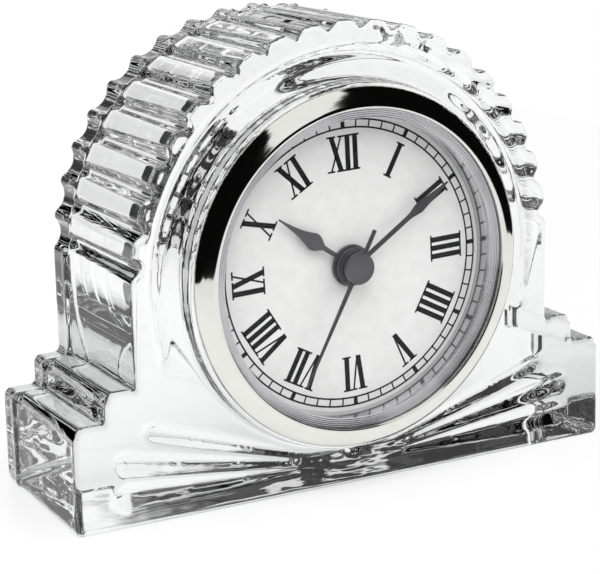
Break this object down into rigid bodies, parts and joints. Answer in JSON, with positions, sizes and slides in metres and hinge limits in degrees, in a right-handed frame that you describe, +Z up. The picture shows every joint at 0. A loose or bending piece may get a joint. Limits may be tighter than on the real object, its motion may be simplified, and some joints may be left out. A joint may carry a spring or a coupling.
{
  "type": "shelf clock",
  "caption": "Shelf clock: a round arched pressed-glass body on a stepped base, holding a press-in quartz insert with a chrome bezel, roman dial, hands and gear train.",
  "frame": {"origin": "middle of the glass underside, the face that the clock stands on", "axes": "+X to the viewer's right, the dial faces -Y, +Z up"},
  "size_m": [0.114, 0.0441, 0.0886],
  "materials": {
    "crystal": "clear pressed crystal, fire polished",
    "chrome": "bright chrome plate",
    "lens": "clear flat lens",
    "case_plastic": "black moulded plastic, fine grain",
    "grip": "translucent soft ring",
    "reflector": "silvered, semi gloss",
    "dial": "silver white satin lacquer",
    "train_plastic": "natural moulded",
    "knob_plastic": "white moulded",
    "brass": "plain brass",
    "steel": "plain steel",
    "hands": "gunmetal lacquer",
    "copper": "enamelled copper wire",
    "board": "green solder mask",
    "epoxy": "black epoxy"
  },
  "bodies": {
    "case": {"glass_case": "crystal"},
    "insert": {"bezel": "chrome", "lens": "lens", "insert_case": "case_plastic", "grip_ring": "grip", "chapter_ring": "reflector", "dial": "dial", "front_plate": "train_plastic", "train_bridge": "train_plastic", "bridge_screws": "steel", "stator": "steel", "coil_bobbin": "train_plastic", "coil_winding": "copper", "circuit_board": "board", "quartz_can": "steel", "chip_cover": "epoxy", "battery": "steel", "contact_negative": "brass", "contact_positive": "brass"},
    "minute": {"minute_hand": "hands", "minute_hub": "hands", "cannon_pinion": "brass"},
    "hour": {"hour_hand": "hands", "hour_hub": "hands", "hour_wheel": "train_plastic"},
    "motion_wheel": {"minute_wheel": "train_plastic"},
    "knob": {"set_knob": "knob_plastic"},
    "second": {"second_hand": "hands", "second_cap": "hands", "seconds_wheel": "train_plastic"},
    "third": {"third_wheel": "train_plastic"},
    "centre": {"centre_wheel": "brass"},
    "intermediate": {"intermediate_wheel": "train_plastic"},
    "magnet": {"rotor": "train_plastic"},
    "hatch": {"battery_hatch": "case_plastic"}
  },
  "joints": [
    {"name": "insert_pull", "type": "slide", "parent": "case", "child": "insert", "axis": [0, -1, 0], "range_m": [0, 0.03]},
    {"name": "minute_hand_spin", "type": "hinge", "parent": "insert", "child": "minute", "pos_m": [0, -0.0191, 0.04286], "axis": [0, 1, 0], "continuous": true},
    {"name": "hour_hand_spin", "type": "hinge", "parent": "insert", "child": "hour", "pos_m": [0, -0.0191, 0.04286], "axis": [0, 1, 0], "continuous": true},
    {"name": "minute_wheel_spin", "type": "hinge", "parent": "insert", "child": "motion_wheel", "pos_m": [0.0036, -0.0191, 0.03662], "axis": [0, 1, 0], "continuous": true},
    {"name": "set_knob_spin", "type": "hinge", "parent": "insert", "child": "knob", "pos_m": [0.01037, -0.0191, 0.03416], "axis": [0, 1, 0], "continuous": true},
    {"name": "second_hand_spin", "type": "hinge", "parent": "insert", "child": "second", "pos_m": [0, -0.0191, 0.04286], "axis": [0, 1, 0], "continuous": true},
    {"name": "third_wheel_spin", "type": "hinge", "parent": "insert", "child": "third", "pos_m": [-0.00935, -0.0191, 0.04826], "axis": [0, 1, 0], "continuous": true},
    {"name": "centre_wheel_spin", "type": "hinge", "parent": "insert", "child": "centre", "pos_m": [0, -0.0191, 0.04286], "axis": [0, 1, 0], "continuous": true},
    {"name": "intermediate_wheel_spin", "type": "hinge", "parent": "insert", "child": "intermediate", "pos_m": [0.00542, -0.0191, 0.05243], "axis": [0, 1, 0], "continuous": true},
    {"name": "rotor_spin", "type": "hinge", "parent": "insert", "child": "magnet", "pos_m": [0.00001, -0.0191, 0.05886], "axis": [0, 1, 0], "continuous": true},
    {"name": "hatch_twist", "type": "hinge", "parent": "insert", "child": "hatch", "pos_m": [-0.003, -0.0191, 0.02486], "axis": [0, -1, 0], "range_deg": [0, 60]}
  ],
  "couplings": [
    {"joint": "hour_hand_spin", "follows": "minute_hand_spin", "ratio": 0.083333},
    {"joint": "minute_wheel_spin", "follows": "minute_hand_spin", "ratio": -0.33333},
    {"joint": "set_knob_spin", "follows": "minute_hand_spin", "ratio": 1},
    {"joint": "third_wheel_spin", "follows": "second_hand_spin", "ratio": -0.125},
    {"joint": "centre_wheel_spin", "follows": "second_hand_spin", "ratio": 0.016667},
    {"joint": "intermediate_wheel_spin", "follows": "second_hand_spin", "ratio": -5},
    {"joint": "rotor_spin", "follows": "second_hand_spin", "ratio": 30}
  ]
}
